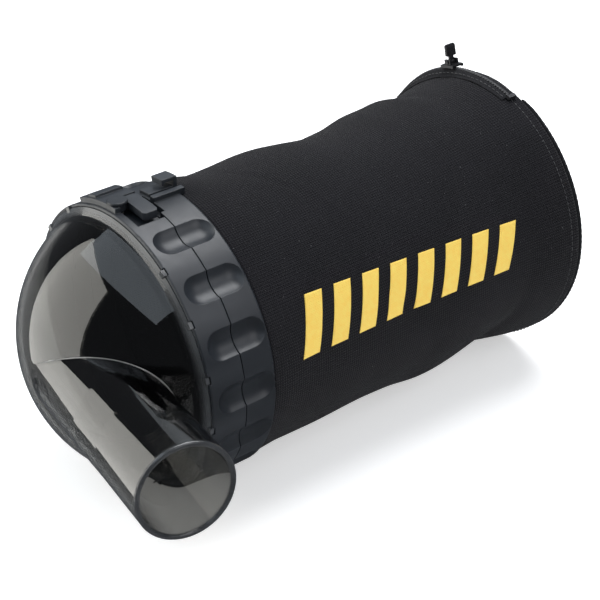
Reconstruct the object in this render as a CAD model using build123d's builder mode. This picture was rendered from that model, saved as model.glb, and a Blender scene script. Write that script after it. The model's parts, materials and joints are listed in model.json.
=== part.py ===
"""Chip collection bag of a hand-held electric planer: clear inlet elbow, two twist-lock collars, zipped bag.

Millimetres, +Z up. The bag's axis runs along +X from the dome to the bag's end. The inlet tube points to -Y.
The origin is under the middle of the whole object, on the surface that the bag lies on.
Stations along the bag are measured from the dome's base, and angles about the bag from the top towards -Y.
"""

import os
from math import asin, cos, degrees, exp, radians, sin, sqrt

from build123d import *

# Place of the bag's axis and of the dome's base in the part's frame
DOME_BASE_X = -72.1
AXIS_Y = 17.6
AXIS_Z = 60.0

# Clear inlet elbow
DOME_RADIUS = 60.85
DOME_CENTRE = 24.45
DOME_WALL = 2.4
FLANGE_RADIUS = 58.6
FLANGE_END = 4.2
SKIRT_RADIUS = 54.5
SKIRT_WALL = 2.2
SKIRT_END = 10.0
TUBE_RADIUS = 19.0
TUBE_WALL = 2.0
TUBE_STATION = -18.2
TUBE_REACH = 97.4
TUBE_YAW = 10.4
TUBE_PITCH = 4.4
TUBE_BEAD = 1.0
TUBE_ROOT_RADIUS = 19.4
TAPER_START = 43.0
SPIGOT_LENGTH = 34.0
SPIGOT_RIM = 0.31

# Twist-lock collars
COLLAR_RADIUS = 60.0
FRONT_COLLAR = (1.8, 17.1)
REAR_COLLAR = (17.5, 31.6)
COLLAR_BORE = 54.8
LIP_BORE = 58.8
SPIGOT_START = 11.6
SPIGOT_RADIUS = 54.5
SPIGOT_BORE = 52.6
LUG_STATIONS = (13.0, 14.8)
LUG_HEIGHT = 1.1
LUG_ARC = 20.0
LUG_ANGLES = (20.0, 140.0, 260.0)
TWIST_ANGLE = 21.0
FIT_GAP = 0.3
EDGE_ROUND = 0.8
SEAL_STATIONS = (15.8, 16.8)
SEAL_DEPTH = 0.9

# Finger scallops around both collars
SCALLOP_PITCH = 21.0
SCALLOP_FIRST = 22.5
SCALLOP_COUNT = 16
SCALLOP_WIDTH = 11.5
SCALLOP_DEPTH = 2.6
SCALLOP_STATIONS = (5.0, 30.5)

# Lock lever in the front collar
PIN_STATION = 6.5
PIN_ANGLE = -3.7
PIN_RADIUS = 1.6
PIN_HEAD_RADIUS = 4.1
PIN_HEAD_HEIGHT = 1.0
PLATEAU_RADIUS = 62.2
POCKET_FLOOR = 57.2
POCKET_START = 5.2
POCKET_ANGLES = (-7.4, 11.0)
LAND_START = 2.8
LAND_ANGLES = (-24.0, -7.5)
LAND_TOE_ANGLES = (-8.0, 0.0)
RIB_STATIONS = (3.6, 16.0)
RIB_ANGLES = (-18.6, -13.6)
RIB_HEIGHT = 1.1
LEVER_UNDERSIDE = 59.2
LEVER_TIP = 13.0
LEVER_HEEL = 3.0
TONGUE_SIDES = (3.1, 9.7)
EYE_RADIUS = 2.8
SPRING_RADIUS = 1.95
SPRING_WIRE = 0.2

# Cloth bag
BAG_START = 31.8
BAG_END = 195.0
CLOTH = 1.6
NECK_RADIUS = 56.1
BAG_END_RADIUS = 63.5
NECK_START = 20.6
BINDING_END = 22.4
NECK_CLOTH = 1.4
NECK_FLARE_RADIUS = 58.6
CLAMP_END = 30.8
CLAMP_SPLIT = 8.0

# Zip around the top and the far side of the bag's end
ZIP_RADIUS = 63.9
ZIP_STATION = 191.2
ZIP_START = -150.0
ZIP_ARC = 168.0
TAPE_WIDTH = 2.4
TAPE_THICKNESS = 0.5
COIL_WIDTH = 2.4
COIL_HEIGHT = 1.0
SLIDER_ANGLE = -14.0
SLIDER_ARC = 7.0
PULL_PIN_RADIUS = 0.8
PULL_PIN_HEIGHT = 67.0

axis_point = (DOME_BASE_X, AXIS_Y, AXIS_Z)
bag_axis = Axis(axis_point, (1, 0, 0))


def side_plane(angle=0.0):
    """Plane through the bag's axis at an angle: local x is the station and local y the radius."""
    turn = radians(angle)
    return Plane(origin=axis_point, x_dir=(1, 0, 0), z_dir=(0, -cos(turn), -sin(turn)))


def cross_plane(station):
    """Plane across the bag's axis: local x is +Y and local y is +Z."""
    return Plane(origin=(DOME_BASE_X + station, AXIS_Y, AXIS_Z), x_dir=(0, 1, 0), z_dir=(1, 0, 0))


def radial_plane(station, angle, radius=0.0):
    """Plane square to a radius: local x is +X and local z points away from the bag's axis."""
    turn = radians(angle)
    outward = Vector(0, -sin(turn), cos(turn))
    return Plane(
        origin=Vector(DOME_BASE_X + station, AXIS_Y, AXIS_Z) + outward * radius,
        x_dir=(1, 0, 0),
        z_dir=outward,
    )


def band(start, end, inner, outer, angle=0.0):
    """Rectangular profile between two stations and two radii."""
    with BuildSketch(side_plane(angle)) as profile:
        with Locations(((start + end) / 2, (inner + outer) / 2)):
            Rectangle(end - start, outer - inner)
    return profile.sketch


def sector(start, end, inner, outer, angle, arc, mode=Mode.ADD):
    """Part of a ring, from an angle through an arc, joined to or cut from the part being built."""
    revolve(band(start, end, inner, outer, angle), axis=bag_axis, revolution_arc=arc, mode=mode)


def ring(start, end, inner, outer, mode=Mode.ADD):
    """Whole ring between two stations and two radii."""
    revolve(band(start, end, inner, outer), axis=bag_axis, mode=mode)


def finish(builder, name):
    """Label a finished piece and write it."""
    builder.part.label = name
    export_step(builder.part, f"parts/{name}.step")


os.makedirs("parts", exist_ok=True)


# Clear inlet elbow: a spherical cap, its flange and skirt, and the tube that runs into it

def cap_arc(radius, base_radius):
    """Start, middle and end of the cap's arc, from the axis round to where it meets a radius."""
    base_angle = degrees(asin(base_radius / radius))
    return [
        (DOME_CENTRE - radius * cos(radians(angle)), radius * sin(radians(angle)))
        for angle in (0, base_angle / 2, base_angle)
    ]


tube_plane = Plane(
    origin=(DOME_BASE_X + TUBE_STATION, AXIS_Y, AXIS_Z),
    z_dir=(
        -sin(radians(TUBE_YAW)),
        -cos(radians(TUBE_YAW)) * cos(radians(TUBE_PITCH)),
        cos(radians(TUBE_YAW)) * sin(radians(TUBE_PITCH)),
    ),
)
tube_axis = Axis(tube_plane.origin, tube_plane.z_dir)
tube_side = Plane(origin=tube_plane.origin, x_dir=tube_plane.z_dir, z_dir=tube_plane.x_dir)
dome_base_radius = sqrt(DOME_RADIUS**2 - DOME_CENTRE**2)
CONE_END = 1.6
TAB_WIDTH = 2.6
TAB_OUTER = 59.5
BORE_START = 6.0
CAVITY_SEAM = 200.0
tab_angles = [SCALLOP_FIRST + SCALLOP_PITCH * (index + 0.5) for index in range(SCALLOP_COUNT - 1)]

# The tube stops inside the dome's wall, so that no two surfaces coincide where they join
wall_arc = cap_arc(DOME_RADIUS - DOME_WALL / 2, SKIRT_RADIUS - SKIRT_WALL / 2)
with BuildPart() as dome_middle:
    with BuildSketch(side_plane(CAVITY_SEAM)):
        with BuildLine():
            ThreePointArc(*wall_arc)
            Polyline(
                wall_arc[2],
                (SKIRT_END + 1, wall_arc[2][1]),
                (SKIRT_END + 1, 0),
                wall_arc[0],
            )
        make_face()
    revolve(axis=bag_axis)

with BuildPart() as tube_outside:
    with BuildSketch(tube_side):
        with BuildLine():
            Polyline(
                (0, 0),
                (0, TUBE_ROOT_RADIUS),
                (TAPER_START, TUBE_ROOT_RADIUS),
                (TUBE_REACH - SPIGOT_RIM - SPIGOT_LENGTH, TUBE_RADIUS),
                (TUBE_REACH, TUBE_RADIUS),
                (TUBE_REACH, 0),
                (0, 0),
            )
        make_face()
    revolve(axis=tube_axis)
    add(dome_middle.part, mode=Mode.SUBTRACT)

with BuildPart() as tube_bore:
    with BuildSketch(tube_side):
        with BuildLine():
            Polyline(
                (BORE_START, 0),
                (BORE_START, TUBE_ROOT_RADIUS - TUBE_WALL),
                (TAPER_START, TUBE_ROOT_RADIUS - TUBE_WALL),
                (TUBE_REACH - SPIGOT_LENGTH, TUBE_RADIUS - TUBE_WALL),
                (TUBE_REACH + 2, TUBE_RADIUS - TUBE_WALL),
                (TUBE_REACH + 2, 0),
                (BORE_START, 0),
            )
        make_face()
    revolve(axis=tube_axis)

outer_arc = cap_arc(DOME_RADIUS, dome_base_radius)
inner_arc = cap_arc(DOME_RADIUS - DOME_WALL, SKIRT_RADIUS - SKIRT_WALL)
with BuildPart() as inlet_elbow:
    with BuildSketch(side_plane()):
        with BuildLine():
            ThreePointArc(*outer_arc)
            Polyline(
                outer_arc[2],
                (CONE_END, FLANGE_RADIUS),
                (FLANGE_END, FLANGE_RADIUS),
                (FLANGE_END, SKIRT_RADIUS),
                (SKIRT_END, SKIRT_RADIUS),
                (SKIRT_END, SKIRT_RADIUS - SKIRT_WALL),
                inner_arc[2],
            )
            ThreePointArc(*inner_arc)
            Line(inner_arc[0], outer_arc[0])
        make_face()
    revolve(axis=bag_axis)
    add(tube_outside.part)
    add(tube_bore.part, mode=Mode.SUBTRACT)
    for tab_angle in tab_angles:
        half_arc = degrees(TAB_WIDTH / 2 / TAB_OUTER)
        sector(0.9, 2.5, FLANGE_RADIUS - 2, TAB_OUTER, tab_angle - half_arc, 2 * half_arc)
    with Locations(tube_plane.offset(TUBE_REACH)):
        Torus(TUBE_RADIUS - TUBE_WALL / 2 + 0.05, TUBE_BEAD)
finish(inlet_elbow, "inlet_elbow")

with BuildPart() as dome_seal:
    ring(SKIRT_END, SKIRT_END + 1.3, SKIRT_RADIUS - SKIRT_WALL + 0.2, SKIRT_RADIUS)
finish(dome_seal, "dome_seal")


# Collars

scallop_chord_depth = SCALLOP_DEPTH - (COLLAR_RADIUS - sqrt(COLLAR_RADIUS**2 - SCALLOP_WIDTH**2 / 4))
scallop_radius = (SCALLOP_WIDTH**2 / 4 + scallop_chord_depth**2) / (2 * scallop_chord_depth)
scallop_centre_radius = COLLAR_RADIUS - SCALLOP_DEPTH + scallop_radius
scallop_ends = (
    SCALLOP_STATIONS[0] + SCALLOP_WIDTH / 2,
    SCALLOP_STATIONS[1] - SCALLOP_WIDTH / 2,
)

with BuildPart() as scallop_cutters:
    for index in range(SCALLOP_COUNT):
        scallop_angle = SCALLOP_FIRST + SCALLOP_PITCH * index
        scallop_plane = radial_plane(sum(scallop_ends) / 2, scallop_angle, scallop_centre_radius)
        with BuildSketch(scallop_plane):
            SlotCenterToCenter(scallop_ends[1] - scallop_ends[0], 2 * scallop_radius)
            with Locations((0, scallop_radius)):
                Rectangle(4 * scallop_radius + scallop_ends[1], 2 * scallop_radius, mode=Mode.SUBTRACT)
        revolve(axis=Axis(scallop_plane.origin, scallop_plane.x_dir))

lever_plane = radial_plane(PIN_STATION, PIN_ANGLE)

with BuildPart() as front_collar:
    ring(*FRONT_COLLAR, COLLAR_BORE, COLLAR_RADIUS)
    collar_edges = front_collar.edges().filter_by(
        lambda edge: edge.geom_type == GeomType.CIRCLE and abs(edge.radius - COLLAR_RADIUS) < 0.01
    )
    fillet(collar_edges.sort_by(Axis.X)[0], EDGE_ROUND)
    ring(FRONT_COLLAR[0], FLANGE_END + 0.2, COLLAR_BORE - 1, LIP_BORE, mode=Mode.SUBTRACT)
    for tab_angle in tab_angles:
        notch_arc = degrees((TAB_WIDTH + 0.6) / TAB_OUTER)
        sector(
            1.0, 2.8, LIP_BORE - 1, COLLAR_RADIUS + 1, tab_angle - notch_arc / 2, notch_arc,
            mode=Mode.SUBTRACT,
        )
    # Bayonet groove, and the three ways into it
    groove_radius = SPIGOT_RADIUS + LUG_HEIGHT + FIT_GAP
    ring(
        LUG_STATIONS[0] - 0.4, LUG_STATIONS[1] + 0.4, COLLAR_BORE - 1, groove_radius,
        mode=Mode.SUBTRACT,
    )
    for lug_angle in LUG_ANGLES:
        sector(
            LUG_STATIONS[1], FRONT_COLLAR[1] + 1, COLLAR_BORE - 1, groove_radius + 0.2,
            lug_angle - TWIST_ANGLE - 2, LUG_ARC + 4, mode=Mode.SUBTRACT,
        )
    add(scallop_cutters.part, mode=Mode.SUBTRACT)
    # Raised land, its rib, and the open pocket that the lever lies in
    sector(
        LAND_START, FRONT_COLLAR[1], COLLAR_RADIUS - 1, PLATEAU_RADIUS,
        LAND_ANGLES[0], LAND_ANGLES[1] - LAND_ANGLES[0],
    )
    sector(
        LAND_START, PIN_STATION, COLLAR_RADIUS - 1, PLATEAU_RADIUS,
        LAND_TOE_ANGLES[0], LAND_TOE_ANGLES[1] - LAND_TOE_ANGLES[0],
    )
    sector(
        *RIB_STATIONS, PLATEAU_RADIUS - 1, PLATEAU_RADIUS + RIB_HEIGHT,
        RIB_ANGLES[0], RIB_ANGLES[1] - RIB_ANGLES[0],
    )
    sector(
        POCKET_START, FRONT_COLLAR[1] + 1, POCKET_FLOOR, PLATEAU_RADIUS + 2,
        POCKET_ANGLES[0], POCKET_ANGLES[1] - POCKET_ANGLES[0], mode=Mode.SUBTRACT,
    )
    with BuildSketch(lever_plane.offset(POCKET_FLOOR)):
        Circle(EYE_RADIUS + 0.6)
    extrude(amount=PLATEAU_RADIUS - POCKET_FLOOR + 1, mode=Mode.SUBTRACT)
    with BuildSketch(lever_plane.offset(COLLAR_BORE + 0.5)):
        Circle(PIN_RADIUS)
    extrude(amount=POCKET_FLOOR - COLLAR_BORE, mode=Mode.SUBTRACT)
finish(front_collar, "front_collar")

CLAMP_POCKET = (20.4, 56.2)
HOOK_START_ARC = (-9.6, 6.4)
HOOK_FOOT_START = 20.5
HOOK_LIP_START = 26.6
HOOK_WALL_START = 31.9
HOOK_END = 33.4
HOOK_HEIGHT = 5.0
HEEL_NOTCH = (17.0, 19.3)
HEEL_NOTCH_ARC = (-6.0, 14.0)
HOOK_RIB_HEIGHT = 1.9

with BuildPart() as rear_collar:
    ring(*REAR_COLLAR, SPIGOT_BORE, COLLAR_RADIUS)
    rear_edges = rear_collar.edges().filter_by(
        lambda edge: edge.geom_type == GeomType.CIRCLE and abs(edge.radius - COLLAR_RADIUS) < 0.01
    )
    fillet(rear_edges.sort_by(Axis.X)[-1], EDGE_ROUND)
    ring(SPIGOT_START, REAR_COLLAR[0], SPIGOT_BORE, SPIGOT_RADIUS)
    ring(*SEAL_STATIONS, SPIGOT_RADIUS - SEAL_DEPTH, SPIGOT_RADIUS + 1, mode=Mode.SUBTRACT)
    ring(CLAMP_POCKET[0], REAR_COLLAR[1], SPIGOT_BORE - 1, CLAMP_POCKET[1], mode=Mode.SUBTRACT)
    for lug_angle in LUG_ANGLES:
        sector(*LUG_STATIONS, SPIGOT_RADIUS - 1, SPIGOT_RADIUS + LUG_HEIGHT, lug_angle, LUG_ARC)
    add(scallop_cutters.part, mode=Mode.SUBTRACT)
    # Notch that the lever's heel looks into, and the rib beside the hook's channel
    sector(*HEEL_NOTCH, POCKET_FLOOR, COLLAR_RADIUS + 1, *HEEL_NOTCH_ARC, mode=Mode.SUBTRACT)
    sector(HEEL_NOTCH[1], HOOK_END + 0.2, COLLAR_RADIUS - 0.9, COLLAR_RADIUS + HOOK_RIB_HEIGHT, -1.0, 2.4)
finish(rear_collar, "rear_collar")

with BuildPart() as collar_seal:
    ring(*SEAL_STATIONS, SPIGOT_RADIUS - SEAL_DEPTH, SPIGOT_RADIUS + 0.1)
finish(collar_seal, "collar_seal")

with BuildPart() as thumb_hook:
    hook_top = COLLAR_RADIUS + HOOK_HEIGHT
    sector(HOOK_FOOT_START, HOOK_END, COLLAR_RADIUS, COLLAR_RADIUS + 1.2, *HOOK_START_ARC)
    sector(HOOK_WALL_START, HOOK_END, COLLAR_RADIUS, hook_top, *HOOK_START_ARC)
    sector(HOOK_LIP_START, HOOK_END, hook_top - 1.3, hook_top, *HOOK_START_ARC)
    sector(HOOK_LIP_START, HOOK_LIP_START + 1.2, hook_top - 2.3, hook_top, *HOOK_START_ARC)
finish(thumb_hook, "thumb_hook")


# Lock lever, its pin and its spring

with BuildPart() as lock_lever:
    tongue_middle = sum(TONGUE_SIDES) / 2
    tongue_width = TONGUE_SIDES[1] - TONGUE_SIDES[0]
    with BuildSketch(lever_plane.offset(LEVER_UNDERSIDE - 3)):
        with Locations((tongue_middle, (LEVER_HEEL - LEVER_TIP) / 2)):
            RectangleRounded(tongue_width, LEVER_HEEL + LEVER_TIP, 1.5)
        with Locations((TONGUE_SIDES[0] / 2 + 0.5, 0.5)):
            Rectangle(TONGUE_SIDES[0] + 1, LEVER_HEEL + 1.6)
        Circle(EYE_RADIUS)
        Circle(PIN_RADIUS + 0.05, mode=Mode.SUBTRACT)
    extrude(amount=8)
    with BuildPart(mode=Mode.PRIVATE) as lever_shell:
        ring(0, 20, LEVER_UNDERSIDE, PLATEAU_RADIUS)
    add(lever_shell.part, mode=Mode.INTERSECT)
finish(lock_lever, "lock_lever")

with BuildPart() as lever_pivot_pin:
    with BuildSketch(lever_plane.offset(COLLAR_BORE + 0.5)):
        Circle(PIN_RADIUS)
    extrude(amount=PLATEAU_RADIUS - COLLAR_BORE)
    with BuildSketch(lever_plane.offset(PLATEAU_RADIUS + FIT_GAP)):
        Circle(PIN_HEAD_RADIUS)
    extrude(amount=PIN_HEAD_HEIGHT)
    fillet(lever_pivot_pin.edges().sort_by(Axis(lever_plane.origin, lever_plane.z_dir))[-1], 0.35)
finish(lever_pivot_pin, "lever_pivot_pin")

with BuildPart() as lever_spring:
    with BuildLine(lever_plane.offset(POCKET_FLOOR + SPRING_WIRE + 0.2)):
        coil_path = Helix(pitch=0.45, height=0.9, radius=SPRING_RADIUS)
    with BuildSketch(Plane(origin=coil_path @ 0, z_dir=coil_path % 0)):
        Circle(SPRING_WIRE)
    sweep(path=coil_path, is_frenet=True)
finish(lever_spring, "lever_spring")


# Cloth bag: neck, sleeve, end panel, and what holds its mouth and its end open

# Station, radius, how far the section hangs below the axis, and how far its underside spreads on the floor
sleeve_sections = [
    (32.0, 58.9, 0.0, 0.0),
    (50.0, 57.8, 1.2, 2.9),
    (85.0, 56.3, 2.6, 3.0),
    (120.0, 55.9, 3.0, 3.0),
    (155.0, 56.6, 2.4, 2.9),
    (174.0, 57.6, 1.0, 3.2),
    (185.0, 61.6, 0.0, 0.8),
    (BAG_END, BAG_END_RADIUS, 0.0, 0.0),
]
SECTION_POINTS = 24
BELLY_SPREAD = 25.0


def sleeve_outline(station, radius, hang, belly, inset):
    """Cross-section of the sleeve as a closed smooth curve, inset by a cloth thickness."""
    points = []
    for index in range(SECTION_POINTS):
        angle = 360 * index / SECTION_POINTS
        from_below = (angle - 180) / BELLY_SPREAD
        reach = radius - inset - hang * cos(radians(angle)) + belly * exp(-(from_below**2))
        points.append((-reach * sin(radians(angle)), reach * cos(radians(angle))))
    with BuildSketch(cross_plane(station)) as outline:
        with BuildLine():
            Spline(*points, periodic=True)
        make_face()
    return outline.sketch


def sleeve_solid(inset):
    """Solid within the sleeve's sections, cut flat where it rests on the floor."""
    with BuildPart() as solid:
        loft([sleeve_outline(*section, inset) for section in sleeve_sections])
        with BuildSketch(Plane.XY.offset(inset)):
            Rectangle(600, 400)
        extrude(amount=-40, mode=Mode.SUBTRACT)
    return solid.part


sleeve_outside = sleeve_solid(0.0)
sleeve_inside = sleeve_solid(CLOTH)

with BuildPart() as bag_sleeve:
    add(sleeve_outside)
    add(sleeve_inside, mode=Mode.SUBTRACT)
    ring(BINDING_END, BAG_START + 1.2, NECK_RADIUS - NECK_CLOTH, NECK_RADIUS)
    ring(BAG_START, BAG_START + 1.2, NECK_RADIUS - NECK_CLOTH, NECK_FLARE_RADIUS)
finish(bag_sleeve, "bag_sleeve")

with BuildPart() as neck_binding:
    ring(NECK_START, BINDING_END, NECK_RADIUS - NECK_CLOTH - 0.1, NECK_RADIUS)
finish(neck_binding, "neck_binding")

with BuildPart() as clamp_ring:
    sector(
        NECK_START, CLAMP_END, SPIGOT_BORE + 0.2, NECK_RADIUS - NECK_CLOTH - 0.1,
        CLAMP_SPLIT / 2 - 180, 360 - CLAMP_SPLIT,
    )
finish(clamp_ring, "clamp_ring")

with BuildPart() as end_panel:
    with BuildSketch(cross_plane(BAG_END)):
        Circle(BAG_END_RADIUS)
        with Locations((0, -AXIS_Z - 20)):
            Rectangle(2 * BAG_END_RADIUS, 40, mode=Mode.SUBTRACT)
    extrude(amount=CLOTH)
finish(end_panel, "end_panel")

PIPING_RADIUS = 1.1
PIPING_ARC = 138.0
with BuildPart() as end_piping:
    with BuildSketch(side_plane(ZIP_START + ZIP_ARC + 2)):
        with Locations((BAG_END + CLOTH + PIPING_RADIUS, BAG_END_RADIUS - PIPING_RADIUS)):
            Circle(PIPING_RADIUS)
    revolve(axis=bag_axis, revolution_arc=PIPING_ARC)
finish(end_piping, "end_piping")

HOOP_WIRE = 1.25
HOOP_RADIUS = 58.3
HOOP_STATION = 190.0
HOOP_RAISE = 1.3
with BuildPart() as end_hoop:
    hoop_centre = cross_plane(HOOP_STATION).origin + Vector(0, 0, HOOP_RAISE)
    with Locations(Plane(origin=hoop_centre, z_dir=(1, 0, 0))):
        Torus(HOOP_RADIUS, HOOP_WIRE)
finish(end_hoop, "end_hoop")


# Zip

coil_half = COIL_WIDTH / 2

with BuildPart() as zip_tape_sleeve:
    sector(
        ZIP_STATION - coil_half - TAPE_WIDTH, ZIP_STATION - coil_half, ZIP_RADIUS,
        ZIP_RADIUS + TAPE_THICKNESS, ZIP_START, ZIP_ARC,
    )
finish(zip_tape_sleeve, "zip_tape_sleeve")

with BuildPart() as zip_tape_panel:
    sector(
        ZIP_STATION + coil_half, ZIP_STATION + coil_half + TAPE_WIDTH, ZIP_RADIUS,
        ZIP_RADIUS + TAPE_THICKNESS, ZIP_START, ZIP_ARC,
    )
finish(zip_tape_panel, "zip_tape_panel")

with BuildPart() as zip_coil:
    sector(
        ZIP_STATION - coil_half, ZIP_STATION + coil_half, ZIP_RADIUS,
        ZIP_RADIUS + COIL_HEIGHT, ZIP_START, ZIP_ARC,
    )
finish(zip_coil, "zip_coil")

STOP_HEIGHT = 1.7
STOP_ARC = 1.6
with BuildPart() as zip_stops:
    for stop_angle in (ZIP_START - 1.8, ZIP_START + ZIP_ARC + 0.2):
        sector(
            ZIP_STATION - coil_half - 0.8, ZIP_STATION + coil_half + 0.8, ZIP_RADIUS,
            ZIP_RADIUS + STOP_HEIGHT, stop_angle, STOP_ARC,
        )
finish(zip_stops, "zip_stops")

SLIDER_HALF_WIDTH = 3.2
SLIDER_PLATE = 0.8
EAR_HEIGHT = 1.2
EAR_ARC = 3.0
slider_start = SLIDER_ANGLE - SLIDER_ARC / 2
slider_roof = ZIP_RADIUS + COIL_HEIGHT + FIT_GAP
slider_top = slider_roof + SLIDER_PLATE
tape_top = ZIP_RADIUS + TAPE_THICKNESS
EAR_STATIONS = (1.5, 2.5)

with BuildPart() as zip_slider:
    sector(
        ZIP_STATION - SLIDER_HALF_WIDTH, ZIP_STATION + SLIDER_HALF_WIDTH, slider_roof, slider_top,
        slider_start, SLIDER_ARC,
    )
    for side in (-1, 1):
        skirt = sorted(ZIP_STATION + side * (SLIDER_HALF_WIDTH - edge) for edge in (0, SLIDER_PLATE))
        sector(*skirt, tape_top + FIT_GAP, slider_top, slider_start, SLIDER_ARC)
        ear = sorted(ZIP_STATION + side * edge for edge in EAR_STATIONS)
        sector(*ear, slider_roof, PULL_PIN_HEIGHT + EAR_HEIGHT, SLIDER_ANGLE - EAR_ARC / 2, EAR_ARC)
    with Locations(radial_plane(ZIP_STATION, SLIDER_ANGLE, PULL_PIN_HEIGHT)):
        Cylinder(PULL_PIN_RADIUS + 0.05, 8, rotation=(0, 90, 0), mode=Mode.SUBTRACT)
finish(zip_slider, "zip_slider")

PULL_LENGTH = 4.6
PULL_WIDTH = 5.2
PULL_NECK = 2.5
PULL_HALF_THICKNESS = 0.45
RIBBON_THICKNESS = 0.6
pull_plane = Plane(
    origin=radial_plane(ZIP_STATION, SLIDER_ANGLE, PULL_PIN_HEIGHT).origin,
    x_dir=(1, 0, 0),
    z_dir=side_plane(SLIDER_ANGLE).z_dir,
)

with BuildPart() as zip_pull:
    with Locations(radial_plane(ZIP_STATION, SLIDER_ANGLE, PULL_PIN_HEIGHT)):
        Cylinder(PULL_PIN_RADIUS, 6, rotation=(0, 90, 0))
    with BuildSketch(pull_plane):
        with Locations((0, PULL_NECK / 2 + 0.4)):
            Rectangle(2.4, PULL_NECK + 0.8)
        with Locations((0, PULL_NECK + PULL_LENGTH / 2)):
            RectangleRounded(PULL_WIDTH, PULL_LENGTH, 0.8)
    extrude(amount=PULL_HALF_THICKNESS, both=True)
finish(zip_pull, "zip_pull")

with BuildPart() as pull_ribbon:
    for side in (-1, 1):
        with BuildSketch(pull_plane.offset(side * PULL_HALF_THICKNESS)):
            with Locations((0, PULL_NECK + PULL_LENGTH / 2 + 0.2)):
                RectangleRounded(PULL_WIDTH - 0.4, PULL_LENGTH - 0.8, 0.5)
        extrude(amount=side * RIBBON_THICKNESS)
finish(pull_ribbon, "pull_ribbon")
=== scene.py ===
"""Looks for a planer's chip collection bag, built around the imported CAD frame.

Lengths are in metres. Stations run along the bag's axis from the dome's base, and angles go
round the bag from the top towards -Y, in degrees.
"""

import json
import math

import bmesh
import bpy
import numpy as np
from mathutils import Matrix, Vector


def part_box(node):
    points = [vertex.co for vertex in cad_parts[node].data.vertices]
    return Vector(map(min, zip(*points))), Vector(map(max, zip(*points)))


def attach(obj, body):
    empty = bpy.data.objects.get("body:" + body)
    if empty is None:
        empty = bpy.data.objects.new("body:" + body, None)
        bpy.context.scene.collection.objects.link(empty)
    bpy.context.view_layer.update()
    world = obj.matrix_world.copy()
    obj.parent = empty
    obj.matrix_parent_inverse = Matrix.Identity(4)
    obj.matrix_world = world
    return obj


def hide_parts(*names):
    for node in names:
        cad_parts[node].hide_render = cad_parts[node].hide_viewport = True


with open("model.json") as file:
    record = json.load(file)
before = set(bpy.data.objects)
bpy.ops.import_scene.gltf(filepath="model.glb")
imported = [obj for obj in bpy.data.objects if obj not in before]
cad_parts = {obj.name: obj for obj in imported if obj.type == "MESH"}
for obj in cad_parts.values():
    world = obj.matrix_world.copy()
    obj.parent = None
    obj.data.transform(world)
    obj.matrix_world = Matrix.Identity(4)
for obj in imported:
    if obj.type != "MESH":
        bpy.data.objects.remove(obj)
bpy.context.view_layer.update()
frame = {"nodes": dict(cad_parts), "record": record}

MM = 0.001
JOINTS = {joint["name"]: joint for joint in frame["record"]["behaviour"]["joints"]}
BASE = Vector(JOINTS["collar_twist"]["pos_m"])
FLOOR = 0.0


def place(station, radius, angle):
    """Point at a station, a radius and an angle, the lengths in metres."""
    turn = math.radians(angle)
    return BASE + Vector((station, -radius * math.sin(turn), radius * math.cos(turn)))


# Camera: the direction, distance and lens that give the object its size and perspective

CAMERA_TURN = math.radians(39.1)
CAMERA_HEIGHT = math.radians(31.8)
CAMERA_DISTANCE = 0.6284
CAMERA_LENS = 96.0
AIM_RIGHT = 0.0712
AIM_UP = 0.0199


def make_camera():
    right = Vector((math.cos(CAMERA_TURN), -math.sin(CAMERA_TURN), 0))
    back = Vector((
        -math.sin(CAMERA_TURN) * math.cos(CAMERA_HEIGHT),
        -math.cos(CAMERA_TURN) * math.cos(CAMERA_HEIGHT),
        math.sin(CAMERA_HEIGHT),
    ))
    up = back.cross(right)
    data = bpy.data.cameras.new("camera")
    data.lens = CAMERA_LENS
    data.sensor_width = 36.0
    data.clip_start = 0.01
    camera = bpy.data.objects.new("camera", data)
    bpy.context.scene.collection.objects.link(camera)
    camera.location = BASE + right * AIM_RIGHT + up * AIM_UP + back * CAMERA_DISTANCE
    camera.rotation_mode = "QUATERNION"
    camera.rotation_quaternion = back.to_track_quat("Z", "Y")
    bpy.context.scene.camera = camera


# Node helpers

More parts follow.
